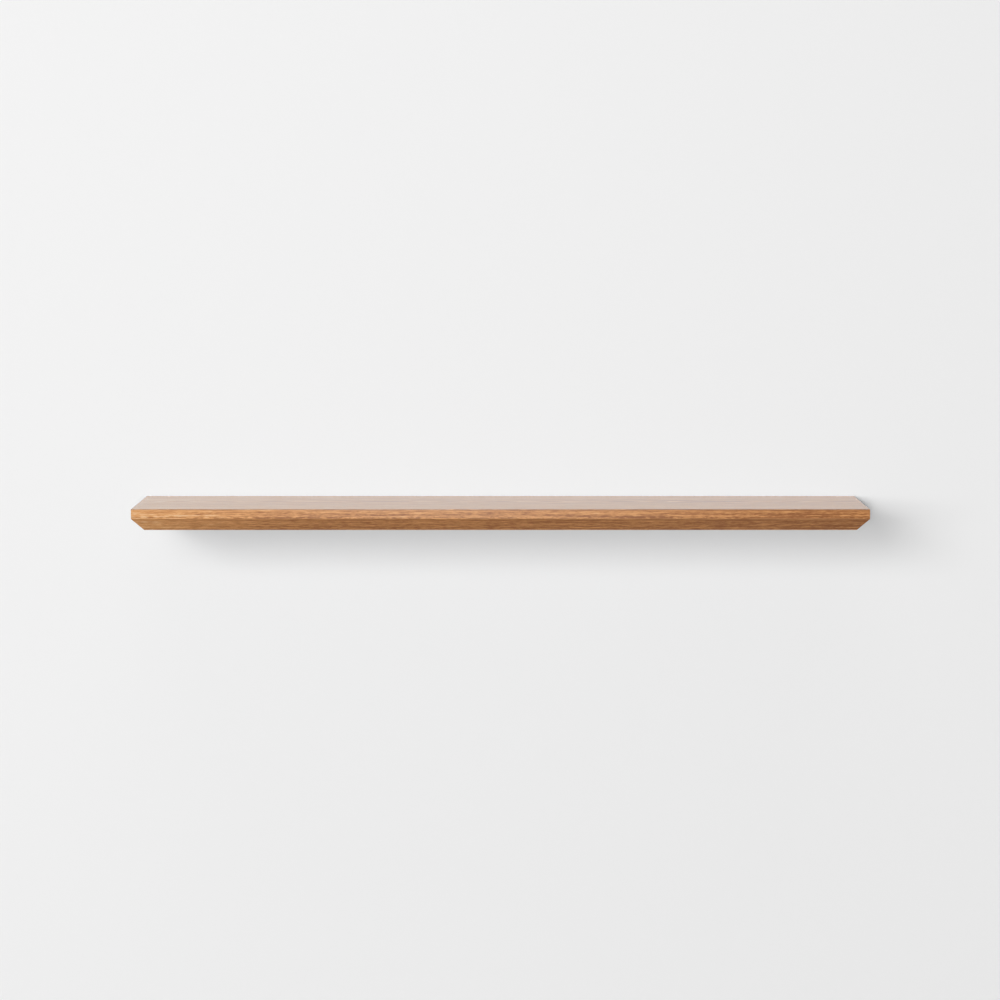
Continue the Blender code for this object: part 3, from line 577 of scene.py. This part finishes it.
BARE = dict(dark=(0.50, 0.36, 0.21), middle=(0.66, 0.50, 0.31), light=(0.76, 0.61, 0.41),
            pale=(0.78, 0.64, 0.44), pore_colour=(0.40, 0.27, 0.15), rough=(0.62, 0.78), pore_depth=0.04 * MM)
for number in range(1, 6):
    stave_figure = {"Pith": (0.0, 0.10 * number - 0.05, -0.05 + 0.02 * (number % 3)), "Lean": 0.012,
                    "Ring Spacing": 0.0042}
    stave_cut = (0.37 * number, 0.11 * number, 0.07 * number)
    refinish(f"core_stave_{number}",
             wood_finish(f"bare_stave_wood_{number}", stave_figure, shift=stave_cut, **BARE))


# The splines: three strips of birch plywood glued into grooves between the core and the lippings.
# Each is five veneers thick, turn about along and across, which its edges show as stripes.
PLY = 0.8
LONG_GRAIN, CROSS_GRAIN, DARK_FIBRE = (0.74, 0.58, 0.38), (0.60, 0.44, 0.27), (0.50, 0.36, 0.22)
birch_ply, tree, shader, place = new_finish("birch_ply")
timber = use_group(tree, log, {"Position": place, "Ring Spacing": 0.006, "Pith": (0.0, -0.3, 0.2)})
level = add_node(tree, "ShaderNodeSeparateXYZ", {0: place}).outputs["Z"]
band = reckon(tree, "PINGPONG", reckon(tree, "DIVIDE", level, PLY * MM), 1.0)
stripe = blend_colours(tree, span(tree, band, 0.35, 0.65), (*LONG_GRAIN, 1.0), (*CROSS_GRAIN, 1.0))
ply_colour = blend_colours(tree, reckon(tree, "MULTIPLY", timber["Fibre"], 0.4), stripe, (*DARK_FIBRE, 1.0))
tree.links.new(ply_colour, shader.inputs["Base Color"])
tree.links.new(span(tree, timber["Fibre"], 0.3, 0.7, 0.62, 0.74), shader.inputs["Roughness"])
for node in ("front_spline", "left_spline", "right_spline"):
    refinish(node, birch_ply)


# The lippings: solid hardwood strips glued round the front and both ends and mitred at the corners.
# Their upright face is 12 mm high, then a 45 degree bevel runs back underneath. Stained honey brown
# and lacquered satin, with every arris eased by a stroke of fine paper.
HALF_LENGTH, DEPTH, HALF_THICKNESS, UNDERCUT = 457.0, 203.0, 13.5, 15.0
LIPPING_WIDTH, VENEER, KNEE, CORNER_EASE = 18.0, 0.6, 1.5, 0.8
HAIR = 0.02  # what is left of a closed glue line
CORNER_WEAR = 2.0  # how far behind the face an outer corner is worn
# The stained woods' pale tone is reached mostly at the left end, where it stands in for painted sheen as well
# as for the palest flecks.
STAINED = dict(dark=(0.25, 0.086, 0.021), middle=(0.490, 0.211, 0.067), light=(0.69, 0.345, 0.128),
               pale=(0.74, 0.475, 0.26), pore_colour=(0.17, 0.054, 0.017), rough=(0.44, 0.56),
               worn_colour=(0.69, 0.38, 0.16), thrown_colour=(0.18, 0.18, 0.19))
# Painted shade: the tone is darker along the bevel and where the knee turns down, standing in for the
# shade on these downward faces; the thin dark line under the top arris is stain along the veneer's
# edge. Painted light: the tone is paler towards the left end and a little darker to the right,
# standing in for the light and sheen that come from the left.
PAINTED_BEVEL_SHADE = ("Z", ((-13.5, -0.20), (-11.5, -0.155), (-1.0, -0.165), (0.4, -0.24), (1.2, -0.36),
                     (2.6, -0.30), (3.5, -0.08), (9.0, -0.01), (11.7, 0.0), (12.9, -0.18)))
PAINTED_LIGHT_ALONG = ("X", ((-457.0, 0.45), (-425.0, 0.31), (-370.0, 0.21), (-290.0, 0.09), (-150.0, 0.01),
                       (90.0, -0.02), (220.0, -0.01), (380.0, -0.09), (457.0, -0.05)))


def eased_section(corners, radii, steps=5):
    """A closed outline with each corner turned on an arc of its own radius. The arc's centre lies on
    the corner's bisector, and a point just outside each end of the arc holds the flat faces flat.
    Gives the points and their wear, which is one on an arc and nothing on the flats."""
    corners, radii = np.array(corners, float), np.array(radii, float)[:, None]
    back = np.roll(corners, 1, 0) - corners
    ahead = np.roll(corners, -1, 0) - corners
    back /= np.linalg.norm(back, axis=1, keepdims=True)
    ahead /= np.linalg.norm(ahead, axis=1, keepdims=True)
    half = np.arccos(np.clip((back * ahead).sum(1, keepdims=True), -1.0, 1.0)) / 2.0
    tangent = radii / np.tan(half)
    middle = (back + ahead) / np.linalg.norm(back + ahead, axis=1, keepdims=True)
    centre = corners + middle * radii / np.sin(half)
    sweep = np.linspace(-1.0, 1.0, steps)[None, :, None] * (pi / 2.0 - half)[:, None]
    side = (ahead - back) / np.linalg.norm(ahead - back, axis=1, keepdims=True)
    spoke = -middle[:, None] * np.cos(sweep) + side[:, None] * np.sin(sweep)
    arc = centre[:, None] + radii[:, None] * spoke
    before = corners + back * (tangent + HOLD)
    after = corners + ahead * (tangent + HOLD)
    points = np.concatenate([before[:, None], arc, after[:, None]], 1).reshape(-1, 2)
    wear = np.tile(np.concatenate([[0.0], np.ones(steps), [0.0]]), len(corners))
    return points, wear


def capped_rings(name, rings, wear):
    """A closed mesh over a stack of rings in millimetres, whose first and last are each one face."""
    rows, columns = rings.shape[:2]
    ends = [np.arange(columns)[None, ::-1], (rows - 1) * columns + np.arange(columns)[None, :]]
    return closed_mesh(name, rings * MM, [closed_grid(rows, columns), *ends], wear)


TOP_GLUE, BOTTOM_GLUE = HALF_THICKNESS - VENEER - HAIR, VENEER + HAIR - HALF_THICKNESS
LIPPING_ARRIS, KNEE_ARRIS = 0.05, 1.2
section, section_wear = eased_section(
    [(0.0, TOP_GLUE), (0.0, KNEE), (UNDERCUT - VENEER - HAIR, BOTTOM_GLUE), (LIPPING_WIDTH, BOTTOM_GLUE),
     (LIPPING_WIDTH, TOP_GLUE)], [LIPPING_ARRIS, KNEE_ARRIS, LIPPING_ARRIS, LIPPING_ARRIS, LIPPING_ARRIS])


def lipping(name, corner, run_way, inward, run, square_end):
    """The lipping's section carried along its run: a point lies at the board's corner plus its place
    along the run plus its setback inwards. A point of the section that lies s behind the face starts
    s into the run, which cuts the mitre at 45 degrees, and the outer corner is turned on a small
    arc: within its radius the face falls back as the arc does."""
    setback, level = section.T
    first = np.maximum(setback, CORNER_EASE * (1.0 - 0.5 ** 0.5))
    near = np.linspace(0.0, 1.0, 5) * CORNER_EASE * 0.5 ** 0.5
    start = first[None, :] + HAIR + near[:, None]
    if square_end:
        stations = np.vstack([start, np.full_like(setback, run - HOLD), np.full_like(setback, run)])
        distance = stations
    else:
        stations = np.vstack([start, run - start[::-1]])
        distance = np.minimum(stations, run - stations)
    short = np.clip(CORNER_EASE - distance, 0.0, None)
    inset = CORNER_EASE - np.sqrt(np.clip(CORNER_EASE ** 2 - short ** 2, 0.0, None))
    behind = np.maximum(setback[None, :], inset)
    rings = np.array(corner) + stations[..., None] * np.array(run_way) + behind[..., None] * np.array(inward)
    rings[..., 2] = level
    corner_worn = (inset > 0.0) & (setback < CORNER_WEAR)[None, :]
    return capped_rings(name, rings, np.maximum(section_wear[None, :], corner_worn.astype(float)))


FRONT_FIGURE = {"Pith": (0.0, -0.150, -0.075), "Lean": 0.006, "Ring Spacing": 0.0027, "Wander": 0.008}
# The front and end lippings take both the painted shade of the bevel and the painted light along the length.
PAINTED_LIGHT_AND_SHADE, SATIN = (PAINTED_BEVEL_SHADE, PAINTED_LIGHT_ALONG), 1.24
front_wood = wood_finish("front_lipping_wood", FRONT_FIGURE, graded=PAINTED_LIGHT_AND_SHADE, coat_ior=SATIN, **STAINED)
front_strip = lipping("front_lipping_shape", (-HALF_LENGTH, -DEPTH, 0.0), run_way=(1.0, 0.0, 0.0),
                      inward=(0.0, 1.0, 0.0), run=2.0 * HALF_LENGTH, square_end=False)
place_piece("front_lipping_shaped", front_strip, "shelf", "front_lipping", front_wood,
            sharp=30.0)
for side, word in ((-1.0, "left"), (1.0, "right")):
    end_figure = {"Pith": (0.0, 0.06 * side, -0.09), "Lean": 0.01, "Ring Spacing": 0.0027, "Wander": 0.008}
    end_wood = wood_finish(f"{word}_lipping_wood", end_figure, shift=(0.3 * side, 0.2, 0.0),
                           quarter_turn=True, graded=PAINTED_LIGHT_AND_SHADE, coat_ior=SATIN, **STAINED)
    end_strip = lipping(f"{word}_lipping_shape", (side * HALF_LENGTH, -DEPTH, 0.0), run_way=(0.0, 1.0, 0.0),
                        inward=(-side, 0.0, 0.0), run=DEPTH, square_end=True)
    place_piece(f"{word}_lipping_shaped", end_strip, "shelf", f"{word}_lipping", end_wood,
                sharp=30.0)


# The face veneers: one crown-cut leaf over the whole top, its arris rounded over by hand, and one
# between the bevels below. Both are 0.6 mm thick, pressed on, then stained and lacquered with the
# lippings. The top's sanded arris drank more stain, which leaves a thin broken dark line there.
ROUND_STEPS, EASE = 6, 0.45
turn = np.linspace(0.0, pi / 2.0, ROUND_STEPS)


def plan_ring(inset):
    """The board's outline drawn in by an inset, its corners turned on what is left of their radius."""
    left = max(CORNER_EASE - inset, 0.0)
    turns = np.concatenate([turn + quarter * pi / 2.0 for quarter in range(4)])
    reach_x = np.repeat([1.0, -1.0, -1.0, 1.0], ROUND_STEPS) * (HALF_LENGTH - max(inset, CORNER_EASE))
    reach_y = np.repeat([1.0, 1.0, -1.0, -1.0], ROUND_STEPS) * (DEPTH / 2.0 - max(inset, CORNER_EASE))
    return np.stack([reach_x + left * np.cos(turns), reach_y - DEPTH / 2.0 + left * np.sin(turns)], -1)


rim = [(0.0, HALF_THICKNESS - VENEER), (0.0, HALF_THICKNESS - EASE)]
rim += list(zip(EASE * (1.0 - np.cos(turn[1:])), HALF_THICKNESS - EASE + EASE * np.sin(turn[1:])))
rim += [(EASE + HOLD, HALF_THICKNESS)]
rim_columns = 4 * ROUND_STEPS
rings = np.stack([np.column_stack([plan_ring(inset), np.full(rim_columns, level)]) for inset, level in rim])
rim_wear = np.repeat([0.3, 0.8, 1.0, 1.0, 1.0, 1.0, 1.0, 0.0], rim_columns)

LEAF_SHARES = {"Late Wood": -0.36, "Fibre": 0.8, "Streak": 0.8, "Fleck": 0.12, "Patch": 0.3}
# Painted light: the top's tone is raised all over and most at its left end, standing in for the light and
# sheen that fall on the top, strongest from the left.
PAINTED_TOP_LIGHT = ("X", ((-457.0, 0.34), (-220.0, 0.20), (0.0, 0.16), (457.0, 0.06)))
TOP_STAIN = dict(STAINED, thrown_colour=(0.11, 0.10, 0.10), worn_colour=(0.16, 0.055, 0.018), worn_share=0.8)
TOP_FIGURE = {"Pith": (0.0, -0.085, -0.030), "Lean": 0.045, "Ring Spacing": 0.0034, "Wander": 0.012}
BOTTOM_FIGURE = {"Pith": (0.0, 0.22, -0.045), "Lean": 0.035, "Ring Spacing": 0.0034, "Wander": 0.012}
top_wood = wood_finish("top_veneer_wood", TOP_FIGURE, shift=(0.07, 0.0, 0.0), shares=LEAF_SHARES,
                       graded=(PAINTED_TOP_LIGHT,), coat_ior=1.27, **TOP_STAIN)
top_leaf = capped_rings("top_leaf", rings, rim_wear)
place_piece("top_veneer_leaf", top_leaf, "shelf", "top_veneer", top_wood, sharp=30.0)

bottom_wood = wood_finish("bottom_veneer_wood", BOTTOM_FIGURE, shift=(0.4, 0.3, 0.0), shares=LEAF_SHARES,
                          coat_ior=SATIN, **STAINED)
bottom = place_piece("bottom_veneer_leaf", merged_copy("bottom_veneer"), "shelf",
                     "bottom_veneer", bottom_wood, sharp=30.0)
break_edges(bottom, 0.2 * MM)


# The threaded inserts: turned brass sleeves with a coarse outer thread and a knurled flange, wound
# into the underside below the outer rods.
turned_brass = even_finish("turned_brass", (0.62, 0.44, 0.18), (0.76, 0.57, 0.27), metallic=1.0,
                           rough=(0.22, 0.36), broad=150.0, fine=1500.0, grain_height=0.01 * MM)
INSERT_X, INSERT_Y, INSERT_COLUMNS = {"left": -266.7, "right": 266.7}, -28.0, 96
SLEEVE_RADIUS, BORE_RADIUS, WOOD_THREAD, BORE_THREAD = 4.1, 3.40, 0.45, 0.28
KNURL, KNURL_WAVES, KNURLED_ROWS = 0.12, 24.0, slice(3, 5)
# Each row of the sleeve's outside is its height over the underside and its radius.
sleeve_level = np.arange(1.4, 6.3, 0.25)
flange = [(0.22, 3.45), (0.20, 3.75), (0.22, 5.6), (0.30, 5.85), (0.85, 5.85), (0.97, 5.75), (1.0, 5.6),
          (1.0, 4.3), (1.2, 4.15)]
sleeve = np.stack(np.broadcast_arrays(sleeve_level, SLEEVE_RADIUS), -1)
lead_in = [(6.5, SLEEVE_RADIUS), (6.75, 3.9), (6.8, 3.6)]
outer_level, outer_radius = np.vstack([flange, sleeve, lead_in]).T
bore_level = np.arange(6.6, 0.4, -0.125)
angle = ring_angles(INSERT_COLUMNS)
outer = np.repeat(outer_radius[:, None], INSERT_COLUMNS, 1)
outer[KNURLED_ROWS] += KNURL * np.abs(np.cos(angle * KNURL_WAVES))[None, :]
wood_ridge = screw_thread(outer_level, angle, pitch=1.8, core=0.0, crest=1.0, start=1.3, finish=6.6)
bore_ridge = screw_thread(bore_level, -angle, pitch=1.0, core=0.0, crest=1.0, start=0.4, finish=6.7)
radius = np.vstack([outer + WOOD_THREAD * wood_ridge, BORE_RADIUS - BORE_THREAD * bore_ridge]) * MM
level = np.concatenate([outer_level, bore_level])[:, None] * MM - HALF_THICKNESS * MM
level = np.broadcast_to(level, radius.shape)
for side, x in INSERT_X.items():
    points = np.stack([radius * np.cos(angle) + x * MM, radius * np.sin(angle) + INSERT_Y * MM, level], -1)
    insert = closed_mesh(f"threaded_insert_{side}_sleeve", points,
                         [closed_grid(len(radius), INSERT_COLUMNS, round_rows=True)])
    place_piece(f"threaded_insert_{side}_turned", insert, "shelf", f"threaded_insert_{side}",
                turned_brass, sharp=40.0)


# The lock screws: headless M6 steel screws with a hexagon socket, blacked in oil. Each turns up
# through its insert until its tip bears on the rod above it.
oil_black = even_finish("oil_black_steel", (0.022, 0.021, 0.022), (0.045, 0.043, 0.045), metallic=0.6,
                        rough=(0.28, 0.42), broad=200.0, fine=1500.0, grain_height=0.01 * MM)
SOCKET_FLAT, SOCKET_DEPTH, SCREW_LOW, SCREW_HIGH = 1.5, 2.5, -12.5, -6.3
hexagon = 1.0 / np.cos((angle + pi / 6.0) % (pi / 3.0) - pi / 6.0)
round_ring = 0.0 * hexagon
hexagon_ring = SOCKET_FLAT * hexagon
socket_level = SCREW_LOW + np.array([SOCKET_DEPTH + 0.45, SOCKET_DEPTH + 0.3, SOCKET_DEPTH,
                                     SOCKET_DEPTH - 0.05, 0.35, 0.12, 0.0, 0.0, 0.08])
socket = np.vstack([0.2 + round_ring, 0.9 + round_ring, hexagon_ring * 0.97, hexagon_ring, hexagon_ring,
                    hexagon_ring + 0.05, hexagon_ring + 0.18, 2.25 + round_ring, 2.4 + round_ring])
thread_level = np.arange(SCREW_LOW + 0.3, SCREW_HIGH - 0.6, 0.125)
thread = screw_thread(thread_level, angle, pitch=1.0, core=2.55, crest=2.98, start=SCREW_LOW - 0.1,
                      finish=SCREW_HIGH - 0.2)
chamfer = np.interp(thread_level, [SCREW_LOW + 0.3, SCREW_LOW + 0.7, SCREW_HIGH - 0.9, SCREW_HIGH - 0.55],
                    [2.5, 3.0, 3.0, 2.6])
tip_level = SCREW_HIGH - np.array([0.5, 0.25, 0.05, 0.0, 0.0])
tip = np.array([2.45, 2.3, 2.15, 2.0, 0.5])[:, None] + round_ring
screw_level = np.concatenate([socket_level, thread_level, tip_level])
screw_radius = np.vstack([socket, np.minimum(thread, chamfer[:, None]), tip])
for side, x in INSERT_X.items():
    blank = turned(f"lock_screw_{side}_blank", screw_level * MM, screw_radius * MM, "z",
                   (x * MM, INSERT_Y * MM, 0.0))
    place_piece(f"lock_screw_{side}_threaded", blank, f"lock_screw_{side}",
                f"lock_screw_{side}", oil_black, sharp=40.0)
